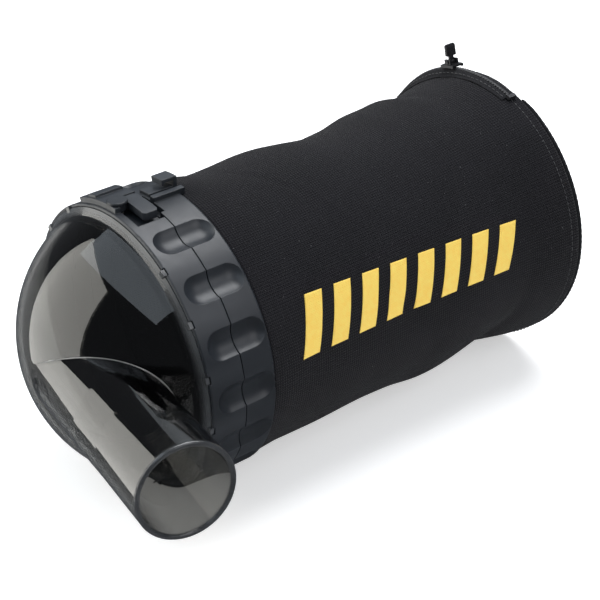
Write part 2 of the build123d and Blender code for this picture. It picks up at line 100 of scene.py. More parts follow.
class Nodes:
    """A material's node tree, with short calls for the nodes used here."""

    def __init__(self, name):
        self.material = bpy.data.materials.new(name)
        self.material.use_nodes = True
        self.tree = self.material.node_tree
        self.tree.nodes.clear()
        self.output = self.add("ShaderNodeOutputMaterial")

    def add(self, kind, **values):
        node = self.tree.nodes.new(kind)
        for name, value in values.items():
            setattr(node, name, value)
        return node

    def link(self, source, target):
        self.tree.links.new(source, target)

    def feed(self, socket, value):
        if isinstance(value, bpy.types.NodeSocket):
            self.link(value, socket)
        else:
            socket.default_value = value

    def math(self, operation, first, second=0.0):
        node = self.add("ShaderNodeMath", operation=operation)
        self.feed(node.inputs[0], first)
        self.feed(node.inputs[1], second)
        return node.outputs[0]

    def coordinates(self, kind="Object"):
        return self.add("ShaderNodeTexCoord").outputs[kind]

    def noise(self, scale, detail=3.0, roughness=0.5):
        node = self.add("ShaderNodeTexNoise")
        node.inputs["Scale"].default_value = scale
        node.inputs["Detail"].default_value = detail
        node.inputs["Roughness"].default_value = roughness
        self.link(self.coordinates(), node.inputs["Vector"])
        return node.outputs["Fac"]

    def span(self, value, low, high, new_low, new_high):
        node = self.add("ShaderNodeMapRange")
        for name, number in zip(("From Min", "From Max", "To Min", "To Max"), (low, high, new_low, new_high)):
            node.inputs[name].default_value = number
        self.link(value, node.inputs["Value"])
        return node.outputs[0]

    def mix(self, factor, first, second):
        node = self.add("ShaderNodeMix", data_type="RGBA")
        self.feed(node.inputs[0], factor)
        self.feed(node.inputs[6], first if isinstance(first, bpy.types.NodeSocket) else (*first, 1.0))
        self.feed(node.inputs[7], second if isinstance(second, bpy.types.NodeSocket) else (*second, 1.0))
        return node.outputs[2]

    def bump(self, height, distance, strength=1.0, normal=None):
        node = self.add("ShaderNodeBump")
        node.inputs["Distance"].default_value = distance
        node.inputs["Strength"].default_value = strength
        self.link(height, node.inputs["Height"])
        if normal is not None:
            self.link(normal, node.inputs["Normal"])
        return node.outputs["Normal"]

    def rounded_edges(self, radius):
        node = self.add("ShaderNodeBevel", samples=4)
        node.inputs["Radius"].default_value = radius
        return node.outputs["Normal"]

    def principled(self, **inputs):
        node = self.add("ShaderNodeBsdfPrincipled")
        for name, value in inputs.items():
            self.feed(node.inputs[name.replace("_", " ")], value)
        self.link(node.outputs[0], self.output.inputs["Surface"])
        return node


# Materials

def weave_height(nodes, pitch, coordinates):
    """Plain weave over UVs in metres: threads pass over and under each other."""
    split = nodes.add("ShaderNodeSeparateXYZ")
    nodes.link(coordinates, split.inputs[0])
    waves = []
    for axis in (0, 1):
        phase = nodes.math("MULTIPLY", split.outputs[axis], math.pi / pitch)
        waves.append(nodes.math("SINE", phase))
    crossing = nodes.math("MULTIPLY", waves[0], waves[1])
    over = nodes.math("GREATER_THAN", crossing, 0.0)
    warp = nodes.math("ABSOLUTE", waves[0])
    weft = nodes.math("ABSOLUTE", waves[1])
    under = nodes.math("SUBTRACT", 1.0, over)
    return nodes.math("ADD", nodes.math("MULTIPLY", warp, over), nodes.math("MULTIPLY", weft, under))


CANVAS_PITCH = 0.00082
CANVAS_BASE = (0.0068, 0.0066, 0.0082)


def shaded(colour, factor):
    """Colour made darker or lighter."""
    return tuple(factor * channel for channel in colour)


def canvas_material():
    """Black canvas: woven threads with slubs, faded patches and a few specks of lint, with painted highlight
    on the thread tops and painted shade in the dips between them.
    """
    nodes = Nodes("black_canvas")
    base = CANVAS_BASE
    weave = weave_height(nodes, CANVAS_PITCH, nodes.coordinates("UV"))
    slub = nodes.noise(900.0, 4.0, 0.6)
    fading = nodes.noise(22.0, 4.0, 0.55)
    lint = nodes.noise(1500.0, 2.0, 0.5)
    # Painted highlight and shade: the colour is lighter on the thread tops and darker in the dips between
    # threads, following the weave's height.
    thread = nodes.mix(nodes.math("MULTIPLY", weave, 0.75), shaded(base, 0.3), shaded(base, 1.9))
    uneven = nodes.mix(nodes.span(slub, 0.3, 0.7, 0.0, 0.6), thread, shaded(base, 1.9))
    faded = nodes.mix(nodes.span(fading, 0.42, 0.75, 0.0, 0.5), uneven, shaded(base, 2.3))
    speck = nodes.math("GREATER_THAN", lint, 0.765)
    colour = nodes.mix(nodes.math("MULTIPLY", speck, 0.4), faded, (0.42, 0.42, 0.43))
    rough = nodes.span(slub, 0.3, 0.7, 0.82, 0.96)
    grain = nodes.bump(slub, 0.00018, 0.5)
    threads = nodes.bump(weave, 0.0003, 1.0, grain)
    nodes.principled(
        Base_Color=colour, Roughness=rough, Normal=threads, Specular_IOR_Level=0.12,
        Sheen_Weight=0.06, Sheen_Roughness=0.45,
    )
    return nodes.material


def collar_material():
    """Dark grey moulded plastic, a little rubbed on its edges."""
    nodes = Nodes("moulded_grey_plastic")
    cloudy = nodes.noise(26.0, 4.0, 0.6)
    grain = nodes.noise(2600.0, 2.0, 0.6)
    rubbed = nodes.noise(140.0, 5.0, 0.7)
    colour = nodes.mix(
        nodes.span(cloudy, 0.35, 0.7, 0.0, 1.0), (0.0132, 0.0160, 0.0206), (0.0180, 0.0214, 0.0270)
    )
    geometry = nodes.add("ShaderNodeNewGeometry")
    edge = nodes.span(geometry.outputs["Pointiness"], 0.52, 0.62, 0.0, 0.35)
    worn = nodes.mix(edge, colour, (0.045, 0.050, 0.058))
    rough = nodes.span(rubbed, 0.3, 0.75, 0.34, 0.47)
    normal = nodes.bump(grain, 0.00004, 0.35, nodes.rounded_edges(0.0005))
    nodes.principled(Base_Color=worn, Roughness=rough, Normal=normal, Specular_IOR_Level=0.5)
    return nodes.material


TUBE_YAW = math.radians(10.4)
TUBE_PITCH = math.radians(4.4)
TUBE_WAY = (
    -math.sin(TUBE_YAW),
    -math.cos(TUBE_YAW) * math.cos(TUBE_PITCH),
    math.cos(TUBE_YAW) * math.sin(TUBE_PITCH),
)
TUBE_ROOT = BASE + Vector((-0.0182, 0, 0))
TUBE_REACH = 0.0974


def clear_material():
    """Smoked clear plastic, darker at grazing angles and frosted at its flange and the tube's rim."""
    nodes = Nodes("smoked_clear_plastic")
    scuffs = nodes.noise(24.0, 2.0, 0.4)
    haze = nodes.span(scuffs, 0.4, 0.75, 0.012, 0.03)
    facing = nodes.add("ShaderNodeLayerWeight")
    facing.inputs["Blend"].default_value = 0.5
    on_edge = nodes.span(facing.outputs["Facing"], 0.5, 0.92, 0.0, 1.0)
    smoke = nodes.mix(on_edge, (0.185, 0.185, 0.178), (0.009, 0.0095, 0.010))
    glass = nodes.principled(Base_Color=smoke, Roughness=haze, IOR=1.5, Transmission_Weight=1.0)
    passing = nodes.add("ShaderNodeBsdfTransparent")
    passing.inputs["Color"].default_value = (0.30, 0.30, 0.29, 1.0)
    path = nodes.add("ShaderNodeLightPath")
    both = nodes.add("ShaderNodeMixShader")
    nodes.link(path.outputs["Is Shadow Ray"], both.inputs[0])
    nodes.link(glass.outputs[0], both.inputs[1])
    nodes.link(passing.outputs[0], both.inputs[2])
    # Frosted bulk of the flange and the rim
    place_of = nodes.coordinates()
    split = nodes.add("ShaderNodeSeparateXYZ")
    nodes.link(place_of, split.inputs[0])
    flange = nodes.span(split.outputs[0], BASE.x - 0.0006, BASE.x + 0.0010, 0.0, 0.88)
    from_root = nodes.add("ShaderNodeVectorMath", operation="SUBTRACT")
    nodes.link(place_of, from_root.inputs[0])
    from_root.inputs[1].default_value = tuple(TUBE_ROOT)
    reach = nodes.add("ShaderNodeVectorMath", operation="DOT_PRODUCT")
    nodes.link(from_root.outputs[0], reach.inputs[0])
    reach.inputs[1].default_value = TUBE_WAY
    rim = nodes.span(reach.outputs["Value"], TUBE_REACH - 0.0012, TUBE_REACH + 0.0004, 0.0, 0.6)
    frosted = nodes.add("ShaderNodeBsdfPrincipled")
    cloudy = nodes.noise(90.0, 3.0, 0.5)
    nodes.link(
        nodes.mix(nodes.span(cloudy, 0.35, 0.7, 0.0, 1.0), (0.052, 0.055, 0.059), (0.082, 0.086, 0.092)),
        frosted.inputs["Base Color"],
    )
    frosted.inputs["Roughness"].default_value = 0.22
    whole = nodes.add("ShaderNodeMixShader")
    nodes.link(nodes.math("MAXIMUM", flange, rim), whole.inputs[0])
    nodes.link(both.outputs[0], whole.inputs[1])
    nodes.link(frosted.outputs[0], whole.inputs[2])
    nodes.link(whole.outputs[0], nodes.output.inputs["Surface"])
    return nodes.material


def zip_material(name, pitch, base):
    nodes = Nodes(name)
    weave = weave_height(nodes, pitch, nodes.coordinates("UV"))
    fuzz = nodes.noise(1500.0, 3.0, 0.6)
    # Painted highlight and shade: the tape's colour is lighter on the thread tops and darker in the dips
    # between threads, following the weave's height.
    colour = nodes.mix(weave, shaded(base, 0.5), shaded(base, 1.6))
    uneven = nodes.mix(nodes.span(fuzz, 0.4, 0.75, 0.0, 0.5), colour, shaded(base, 2.4))
    normal = nodes.bump(weave, 0.00015, 0.8, nodes.bump(fuzz, 0.0001, 0.5))
    nodes.principled(
        Base_Color=uneven, Roughness=0.85, Normal=normal, Specular_IOR_Level=0.12,
        Sheen_Weight=0.03, Sheen_Roughness=0.4,
    )
    return nodes.material


def nylon_material():
    nodes = Nodes("zip_nylon_teeth")
    shade = nodes.noise(700.0, 2.0, 0.5)
    colour = nodes.mix(nodes.span(shade, 0.3, 0.7, 0.0, 1.0), (0.014, 0.014, 0.016), (0.035, 0.035, 0.038))
    nodes.principled(Base_Color=colour, Roughness=nodes.span(shade, 0.3, 0.7, 0.3, 0.5))
    return nodes.material


def metal_material(name, low, high, metallic, rough_low, rough_high):
    nodes = Nodes(name)
    shade = nodes.noise(420.0, 5.0, 0.65)
    colour = nodes.mix(nodes.span(shade, 0.35, 0.7, 0.0, 1.0), low, high)
    rough = nodes.span(shade, 0.3, 0.75, rough_low, rough_high)
    normal = nodes.bump(nodes.noise(3000.0, 2.0), 0.00003, 0.4, nodes.rounded_edges(0.0002))
    nodes.principled(Base_Color=colour, Metallic=metallic, Roughness=rough, Normal=normal)
    return nodes.material


def rubber_material():
    nodes = Nodes("black_seal_rubber")
    bloom = nodes.noise(180.0, 5.0, 0.7)
    colour = nodes.mix(nodes.span(bloom, 0.4, 0.75, 0.0, 1.0), (0.012, 0.012, 0.012), (0.03, 0.03, 0.03))
    nodes.principled(Base_Color=colour, Roughness=nodes.span(bloom, 0.3, 0.7, 0.55, 0.75))
    return nodes.material


def thread_material():
    nodes = Nodes("black_sewing_thread")
    twist = nodes.noise(2600.0, 2.0, 0.5)
    colour = nodes.mix(nodes.span(twist, 0.3, 0.7, 0.0, 1.0), (0.018, 0.018, 0.020), (0.055, 0.055, 0.06))
    nodes.principled(Base_Color=colour, Roughness=nodes.span(twist, 0.3, 0.7, 0.5, 0.7), Sheen_Weight=0.2)
    return nodes.material


def print_material():
    """Yellow screen print that has sunk into the canvas, with painted shade that makes it darker in the dips
    between the threads.
    """
    nodes = Nodes("yellow_screen_print")
    weave = weave_height(nodes, CANVAS_PITCH, nodes.coordinates("UV"))
    patchy = nodes.noise(420.0, 5.0, 0.65)
    colour = nodes.mix(
        nodes.span(patchy, 0.35, 0.7, 0.0, 1.0), (1.0, 0.66, 0.11), (1.0, 0.74, 0.15)
    )
    # Painted shade: the ink is made darker in the dips between threads, where the weave's height is low.
    weave_dip_shade = nodes.math("MULTIPLY", nodes.math("SUBTRACT", 1.0, weave), 0.08)
    inked = nodes.mix(weave_dip_shade, colour, (0.45, 0.24, 0.04))
    normal = nodes.bump(weave, 0.0002, 0.6)
    nodes.principled(Base_Color=inked, Roughness=0.62, Normal=normal)
    return nodes.material


MATERIALS = {
    "canvas": canvas_material(),
    "collar": collar_material(),
    "clear": clear_material(),
    "tape": zip_material("zip_tape_weave", 0.0006, (0.0115, 0.0115, 0.0130)),
    "teeth": nylon_material(),
    "black_metal": metal_material("black_zip_metal", (0.02, 0.02, 0.022), (0.05, 0.05, 0.055), 0.6, 0.3, 0.5),
    "steel": metal_material("spring_steel", (0.42, 0.42, 0.43), (0.6, 0.6, 0.61), 1.0, 0.22, 0.4),
    "rubber": rubber_material(),
    "print": print_material(),
    "thread": thread_material(),
}
CAD_MATERIALS = {
    "inlet_elbow": "clear",
    "front_collar": "collar",
    "rear_collar": "collar",
    "lock_lever": "collar",
    "lever_pivot_pin": "collar",
    "thumb_hook": "collar",
    "clamp_ring": "collar",
    "dome_seal": "rubber",
    "collar_seal": "rubber",
    "lever_spring": "steel",
    "end_hoop": "steel",
    "neck_binding": "tape",
    "zip_stops": "black_metal",
    "zip_slider": "black_metal",
    "zip_pull": "black_metal",
    "pull_ribbon": "tape",
}


def dress_cad_nodes():
    for node, material in CAD_MATERIALS.items():
        piece = frame["nodes"][node]
        piece.data.materials.clear()
        piece.data.materials.append(MATERIALS[material])


# Mesh helpers

def make_object(name, vertices, faces, material, uvs=None):
    mesh = bpy.data.meshes.new(name)
    mesh.from_pydata([tuple(v) for v in vertices], [], faces)
    if uvs is not None:
        layer = mesh.uv_layers.new(name="threads")
        for loop in mesh.loops:
            layer.data[loop.index].uv = uvs[loop.vertex_index]
    mesh.materials.append(material)
    mesh.update()
    mesh.polygons.foreach_set("use_smooth", [True] * len(mesh.polygons))
    piece = bpy.data.objects.new(name, mesh)
    bpy.context.scene.collection.objects.link(piece)
    return piece


def grid_faces(rows, columns, closed):
    """Quads of a grid of points, row by row; closed joins the last column to the first."""
    faces = []
    across = columns if closed else columns - 1
    for row in range(rows - 1):
        for column in range(across):
            beside = (column + 1) % columns
            faces.append((
                row * columns + column, row * columns + beside,
                (row + 1) * columns + beside, (row + 1) * columns + column,
            ))
    return faces


# Cloth bag

# Sleeve's sections: each station's radius in mm at eight angles.
# It is waisted and creased before its sewn end, and fuller below, where it spreads on the floor.
SECTION_ANGLES = (-35.0, 10.0, 55.0, 95.0, 138.0, 180.0, 230.0, 285.0)
SLEEVE_SECTIONS = (
    (31.9, (58.9, 58.9, 58.9, 58.9, 58.9, 58.9, 58.9, 58.9)),
    (44.0, (57.4, 58.4, 58.6, 58.6, 58.2, 60.4, 58.4, 58.0)),
    (53.0, (55.5, 57.5, 58.0, 58.3, 58.3, 61.2, 58.0, 57.2)),
    (68.0, (56.0, 57.0, 57.6, 58.0, 58.4, 61.6, 57.6, 56.8)),
    (86.0, (56.9, 57.0, 57.2, 57.8, 57.8, 61.8, 57.2, 56.8)),
    (99.0, (55.5, 56.5, 57.0, 57.8, 57.9, 61.8, 57.0, 56.2)),
    (112.0, (53.7, 55.6, 57.0, 58.2, 58.4, 61.8, 57.0, 55.4)),
    (127.0, (54.3, 55.6, 57.2, 58.8, 60.1, 61.8, 57.2, 55.6)),
    (142.0, (56.2, 56.4, 57.8, 59.2, 59.2, 61.6, 57.6, 56.4)),
    (157.0, (57.7, 57.6, 58.8, 59.3, 57.0, 61.4, 58.0, 57.4)),
    (167.0, (57.0, 58.5, 59.9, 59.9, 56.8, 61.3, 58.5, 57.8)),
    (176.0, (57.2, 60.2, 61.2, 61.2, 58.9, 61.7, 60.0, 59.3)),
    (186.0, (59.0, 62.6, 62.6, 62.6, 61.0, 62.7, 62.0, 60.4)),
    (195.0, (60.6, 63.5, 63.3, 63.3, 62.2, 63.3, 63.0, 61.3)),
)
CLOTH = 1.0 * MM


def cubic_weights(t):
    """Catmull-Rom weights of four neighbours."""
    return (
        0.5 * (-t + 2 * t**2 - t**3),
        0.5 * (2 - 5 * t**2 + 3 * t**3),
        0.5 * (t + 4 * t**2 - 3 * t**3),
        0.5 * (t**3 - t**2),
    )


def spline(knots, values, places, closed):
    """Values carried smoothly from knots to places; the last axis of values runs along the knots."""
    knots = np.array(knots)
    index = np.clip(np.searchsorted(knots, places, side="right") - 1, 0, len(knots) - 2)
    t = (places - knots[index]) / (knots[index + 1] - knots[index])
    total = 0.0
    for offset, weight in zip((-1, 0, 1, 2), cubic_weights(np.clip(t, 0, 1))):
        neighbour = index + offset
        if closed:
            neighbour = np.mod(neighbour, len(knots) - 1)
        else:
            neighbour = np.clip(neighbour, 0, len(knots) - 1)
        total = total + weight * values(neighbour)
    return total


def sleeve_radius(stations, angles):
    """Outside radius of the sleeve in millimetres, before its folds."""
    stations, angles = np.broadcast_arrays(np.asarray(stations, dtype=float), np.asarray(angles, dtype=float))
    radii = np.array([section[1] for section in SLEEVE_SECTIONS])
    turn = np.mod(angles - SECTION_ANGLES[0], 360.0) + SECTION_ANGLES[0]
    knots = SECTION_ANGLES + (SECTION_ANGLES[0] + 360.0,)

    def at_angle(column):
        return spline(
            [section[0] for section in SLEEVE_SECTIONS], lambda row: radii[row, column], stations, False
        )

    return spline(knots, at_angle, turn, True)


def gauss(values, middle, width):
    """Bell curve of height 1."""
    return np.exp(-(((values - middle) / width) ** 2))


def around(angles, middle):
    """Signed difference from an angle, in degrees."""
    return np.mod(angles - middle + 180, 360) - 180


FOLDS = (
    # station and angle at the middle, slant in mm per degree, half width in mm, reach in degrees, depth in mm
    (72.0, 14.0, 0.60, 2.6, 20.0, -0.45),
    (80.0, 26.0, 0.60, 3.4, 22.0, 0.35),
    (160.0, -32.0, 0.04, 3.4, 26.0, 0.5),
    (168.0, -30.0, 0.05, 3.4, 30.0, -0.9),
    (165.0, 134.0, -0.10, 4.0, 30.0, -0.9),
    (112.0, 95.0, 0.9, 5.0, 26.0, -0.5),
    (140.0, 60.0, -0.7, 6.0, 26.0, -0.3),
    (70.0, 205.0, 0.2, 9.0, 30.0, -1.0),
    (120.0, 250.0, -0.5, 8.0, 36.0, -1.1),
    (96.0, 290.0, 0.5, 7.0, 30.0, -1.0),
    (150.0, 300.0, -0.3, 8.0, 34.0, 0.9),
    (162.0, 240.0, 0.1, 6.0, 50.0, -1.2),
    (60.0, 265.0, -0.1, 8.0, 40.0, 0.8),
)


def folds(stations, angles):
    """How far the folds stand out of the sleeve, or sink into it, in mm."""
    total = np.zeros_like(stations)
    for station, angle, slant, width, reach, depth in FOLDS:
        turn = around(angles, angle)
        total += depth * gauss(stations, station + slant * turn, width) * gauss(turn, 0.0, reach)
    return total


def ripples(stations, angles, seed):
    """Small soft unevenness from a few waves that don't repeat together."""
    turn = np.radians(angles)
    total = np.zeros_like(stations)
    for index in range(9):
        lobes = 3 + index
        pace = 0.035 + 0.013 * index
        phase = seed + 1.7 * index * index
        wave = np.sin(lobes * turn + pace * stations + phase)
        total += wave * np.cos(pace * 1.31 * stations - 2.3 * phase) / (1 + 0.35 * index)
    return total / 3.0


def ring_grid(first, last, rows, columns, turn=0):
    """Grid of stations by angles right round the bag, which starts and ends at the angle turn."""
    stations = np.linspace(first, last, rows)
    angles = np.linspace(turn, turn + 360, columns, endpoint=False)
    return np.meshgrid(stations, angles, indexing="ij")


def cloth_radius(stations, angles):
    """Outside radius of the sleeve with its folds, held to shape at the collar and at the sewn end."""
    start, end = SLEEVE_SECTIONS[0][0], SLEEVE_SECTIONS[-1][0]
    free = np.clip((stations - start) / 9.0, 0, 1) * np.clip((end - stations) / 12.0, 0, 1)
    free = free * free * (3 - 2 * free)
    moved = folds(stations, angles) + 0.32 * ripples(stations, angles, 0.6)
    return sleeve_radius(stations, angles) + free * moved


def bag_points(stations, angles, inset=0.0):
    """Sleeve surface; where it would sink into the floor it spreads on it instead."""
    points = ring_points(stations, cloth_radius(stations, angles) - inset, angles)
    floor = FLOOR + (0.25 + inset) * MM
    rounding = 1.2 * MM
    low = points[..., 2] - floor
    eased = rounding * np.exp(np.minimum(low / rounding, 1.0) - 1.0) - rounding * math.exp(-1.0)
    meets_again = 1.58
    points[..., 2] = np.where(low < rounding, floor + np.maximum(eased, 0.0) * meets_again, points[..., 2])
    return points


def thread_uvs(stations, angles, radius=58.0):
    """UVs in metres, turned so that the weave's threads run diagonally."""
    along = stations * MM
    across = np.radians(angles) * radius * MM
    return np.stack([(along + across) / math.sqrt(2), (across - along) / math.sqrt(2)], axis=-1)


def shell_object(name, outer, inner, closed, material, uvs):
    """Closed skin between two grids of points with the same layout."""
    rows, columns = outer.shape[:2]
    count = rows * columns
    faces = [tuple(reversed(face)) for face in grid_faces(rows, columns, closed)]
    skin = faces + [tuple(index + count for index in reversed(face)) for face in faces]
    edge = range(columns if closed else columns - 1)
    last = (rows - 1) * columns
    for column in edge:
        beside = (column + 1) % columns
        skin.append((column, beside, beside + count, column + count))
        skin.append((last + beside, last + column, last + column + count, last + beside + count))
    if not closed:
        for row in range(rows - 1):
            here, there = row * columns, (row + 1) * columns
            skin.append((there, here, here + count, there + count))
            end, next_end = here + columns - 1, there + columns - 1
            skin.append((end, next_end, next_end + count, end + count))
    points = np.concatenate([outer.reshape(-1, 3), inner.reshape(-1, 3)])
    threads = np.concatenate([uvs.reshape(-1, 2), uvs.reshape(-1, 2)])
    piece = make_object(name, points, skin, material, uvs=threads)
    fix_normals(piece)
    return piece


def fix_normals(piece, merge=0.0):
    """Turns all faces outwards, after joining points that are nearer to each other than merge."""
    mesh = bmesh.new()
    mesh.from_mesh(piece.data)
    if merge:
        bmesh.ops.remove_doubles(mesh, verts=mesh.verts, dist=merge)
    bmesh.ops.recalc_face_normals(mesh, faces=mesh.faces)
    mesh.to_mesh(piece.data)
    mesh.free()


def make_bag():
    stations, angles = ring_grid(SLEEVE_SECTIONS[0][0], SLEEVE_SECTIONS[-1][0], 170, 288, turn=180)
    outer = bag_points(stations, angles)
    inner = bag_points(stations, angles, CLOTH / MM)
    bag = shell_object("bag_cloth", outer, inner, True, MATERIALS["canvas"], thread_uvs(stations, angles))
    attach(bag, "bag")
    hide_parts("bag_sleeve")


NECK_STATIONS = (22.6, 31.9)
NECK_RADIUS = 56.1
BINDING_STATIONS = (20.65, 22.55)
BINDING_RADII = (55.75, 54.85)


def make_neck():
    """Cloth neck that the clamp ring holds, and the binding on its raw edge."""
    stations, angles = ring_grid(*NECK_STATIONS, 12, 240)
    flare = 2.6 * np.clip((stations - 30.6) / 1.3, 0, 1) ** 2
    outer, inner = (ring_points(stations, NECK_RADIUS - inset + flare, angles) for inset in (0.15, 1.25))
    neck = shell_object("neck_cloth", outer, inner, True, MATERIALS["canvas"], thread_uvs(stations, angles))
    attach(neck, "bag")
    stations, angles = ring_grid(*BINDING_STATIONS, 8, 480)
    crown = 0.25 * np.sin(math.pi * (stations - BINDING_STATIONS[0]) / 1.9)
    cords = 0.06 * np.sin(np.radians(angles) * 120)
    outer = ring_points(stations, BINDING_RADII[0] + crown + cords, angles)
    inner = ring_points(stations, BINDING_RADII[1] - 0.3 * crown, angles)
    threads = thread_uvs(stations, angles)
    binding = shell_object("neck_binding_tape", outer, inner, True, MATERIALS["tape"], threads)
    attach(binding, "bag")
    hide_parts("neck_binding")


def ring_points(stations, radius, angles):
    """Points for stations, radii in mm and angles in degrees."""
    turn = np.radians(angles)
    points = np.stack([stations * MM, -radius * MM * np.sin(turn), radius * MM * np.cos(turn)], axis=-1)
    return points + np.array(BASE)


# End of the bag

END_STATION = 195.0
END_RADIUS = 63.5


def rim_radius(angles):
    """Radius of the sewn rim, where the sleeve ends."""
    return sleeve_radius(END_STATION, angles)


def make_end():
    """Round end of the bag, puckered where it is sewn and slack in the middle."""
    shares, angles = ring_grid(0.0, 1.0, 60, 240)
    radii = (rim_radius(angles) - 0.1) * shares
    near_seam = np.clip((shares - 0.76) / 0.2, 0, 1)
    puckers = 0.2 * np.sin(np.radians(angles) * 46 + 2.0 * np.sin(np.radians(angles) * 5))
    puckers = puckers * near_seam * np.clip((1 - shares) / 0.04, 0, 1)
    slack = 1.2 * np.cos(math.pi / 2 * shares) ** 0.8
    soft = 0.5 * ripples(radii * 2.2, angles, 2.4) * np.clip((0.97 - shares) / 0.3, 0, 1)
    rolled = -1.2 * np.clip((shares - 0.965) / 0.035, 0, 1) ** 2
    crease = 0.8 * gauss(radii * np.sin(np.radians(angles + 24)), 9.0, 2.6)
    crease = crease * np.clip((0.9 - shares) / 0.4, 0, 1)
    outer = ring_points(END_STATION + 1.45 + slack + puckers + soft + rolled - crease, radii, angles)
    inner = ring_points(END_STATION + 0.15 + slack + soft - crease - 0.1 * shares, radii, angles)
    for points in (outer, inner):
        points[..., 2] = np.maximum(points[..., 2], FLOOR + 0.3 * MM)
    turn = np.radians(angles)
    across, up = radii * np.cos(turn) * MM, radii * np.sin(turn) * MM
    uvs = np.stack([(across + up) / math.sqrt(2), (up - across) / math.sqrt(2)], axis=-1)
    panel = shell_object("end_cloth", outer, inner, True, MATERIALS["canvas"], uvs)
    fix_normals(panel, merge=0.00001)
    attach(panel, "bag")
    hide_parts("end_panel")


def tube_along(name, centres, frames, radius, material, sides=14):
    """Tube round a line of points; radius may change along it."""
    count = len(centres)
    radius = np.broadcast_to(radius, (count,))
    turns = np.linspace(0, 2 * math.pi, sides, endpoint=False)
    vertices = []
    uvs = []
    run = 0.0
    for index in range(count):
        out, side = frames[index]
        if index:
            run += float(np.linalg.norm(centres[index] - centres[index - 1]))
        for turn in turns:
            vertices.append(centres[index] + radius[index] * (math.cos(turn) * out + math.sin(turn) * side))
            uvs.append((run, radius[index] * turn))
    faces = grid_faces(count, sides, True)
    faces.append(tuple(reversed(range(sides))))
    faces.append(tuple((count - 1) * sides + i for i in range(sides)))
    piece = make_object(name, vertices, faces, material, uvs=uvs)
    fix_normals(piece)
    return piece


def radial(angle):
    """Direction straight out of the axis at an angle."""
    turn = math.radians(angle)
    return np.array((0.0, -math.sin(turn), math.cos(turn)))


def tangent(angle):
    """Direction round the bag at an angle."""
    turn = math.radians(angle)
    return np.array((0.0, -math.cos(turn), -math.sin(turn)))


ALONG = np.array((1.0, 0.0, 0.0))
PIPING_STATION = 196.7
PIPING_INSET = 0.9


def make_piping():
    """Cord covered in tape along the sewn part of the rim; it thins out where it goes into the seam."""
    angles = np.linspace(21.0, 157.0, 420)
    from_end = np.minimum(angles - angles[0], angles[-1] - angles)
    body = np.clip(from_end / 6.0, 0.0, 1.0) ** 0.5
    radius = (0.35 + 0.55 * body) * MM * (1 + 0.05 * np.sin(np.radians(angles) * 150))
    rim = rim_radius(angles)
    centres = [
        np.array(place(PIPING_STATION * MM, (edge - PIPING_INSET) * MM, angle))
        for edge, angle in zip(rim, angles)
    ]
    frames = [(radial(angle), ALONG) for angle in angles]
    piping = tube_along("end_piping_cord", centres, frames, radius, MATERIALS["tape"])
    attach(piping, "bag")
    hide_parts("end_piping")


# Stitches

def stitch_mesh(name, spots, length, thickness, material, body):
    """Short rounded thread lengths, each given by its middle, its run and its outward direction."""
    vertices, faces = [], []
    profile = ((-0.5, 0.15), (-0.42, 0.75), (-0.2, 1.0), (0.2, 1.0), (0.42, 0.75), (0.5, 0.15))
    sides = 6
    for middle, run, out in spots:
        across = np.cross(run, out)
        start = len(vertices)
        for step, size in profile:
            lift = thickness * 0.5 * (1 - (2 * step) ** 2)
            for turn in range(sides):
                bend = 2 * math.pi * turn / sides
                vertices.append(
                    middle + run * (step * length) + out * (lift + size * thickness * 0.5 * math.cos(bend))
                    + across * (size * thickness * 0.5 * math.sin(bend))
                )
        for face in grid_faces(len(profile), sides, True):
            faces.append(tuple(start + index for index in face))
        faces.append(tuple(start + i for i in reversed(range(sides))))
        faces.append(tuple(start + (len(profile) - 1) * sides + i for i in range(sides)))
    piece = make_object(name, vertices, faces, material)
    fix_normals(piece)
    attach(piece, body)


STITCH_PITCH = 2.6
STITCH_LENGTH = 1.9 * MM
STITCH_THICKNESS = 0.34 * MM
SEAM_STATION = 191.0


def make_stitches():
    """Rows of stitches along both zip tapes, and along the seam where there is no zip."""
    spots = []
    for angle in np.arange(ZIP_START + 1, ZIP_END - 1, math.degrees(STITCH_PITCH / TAPE_RADIUS)):
        for station, (first, last) in zip(STITCH_STATIONS, TAPE_STATIONS):
            top = tape_top(np.array([[station]]), np.array([[angle]]), first, last)[0, 0]
            middle = np.array(place(station * MM, (top + 0.04) * MM, angle))
            spots.append((middle, tangent(angle), radial(angle)))
    for angle in np.arange(20.0, 158.0, math.degrees(STITCH_PITCH / END_RADIUS)):
        on_cloth = bag_points(np.array([[SEAM_STATION]]), np.array([[angle]]))[0, 0]
        spots.append((on_cloth, tangent(angle), radial(angle)))
    stitch_mesh("seam_stitches", spots, STITCH_LENGTH, STITCH_THICKNESS, MATERIALS["thread"], "bag")


# Zip

ZIP_STATION = 191.2
ZIP_START = -150.0
ZIP_END = 18.0
TAPE_RADIUS = 63.9
TAPE_THICKNESS = 0.36
DIP_DEPTH = 3.3
DIP_ANGLE = -55.0
DIP_WIDTH = 26.0


def zip_dip(angles):
    """How far the closed zip settles with the cloth at the top of the far side, in millimetres."""
    return DIP_DEPTH * gauss(around(np.asarray(angles, dtype=float), DIP_ANGLE), 0.0, DIP_WIDTH)


TAPE_STATIONS = ((ZIP_STATION - 4.2, ZIP_STATION - 1.2), (ZIP_STATION + 1.2, ZIP_STATION + 3.6))
STITCH_STATIONS = (ZIP_STATION - 2.9, ZIP_STATION + 2.5)


def tape_top(stations, angles, first, last):
    """Radius of a tape's upper face, which runs from the teeth down to the cloth that it is sewn to."""
    across = (stations - first) / (last - first)
    outer_edge = across if last > ZIP_STATION else 1 - across
    at_teeth = TAPE_RADIUS - zip_dip(angles) + 0.40
    on_cloth = cloth_radius(stations, angles) + 0.50
    lying = outer_edge * outer_edge * (3 - 2 * outer_edge)
    return at_teeth + (on_cloth - at_teeth) * lying


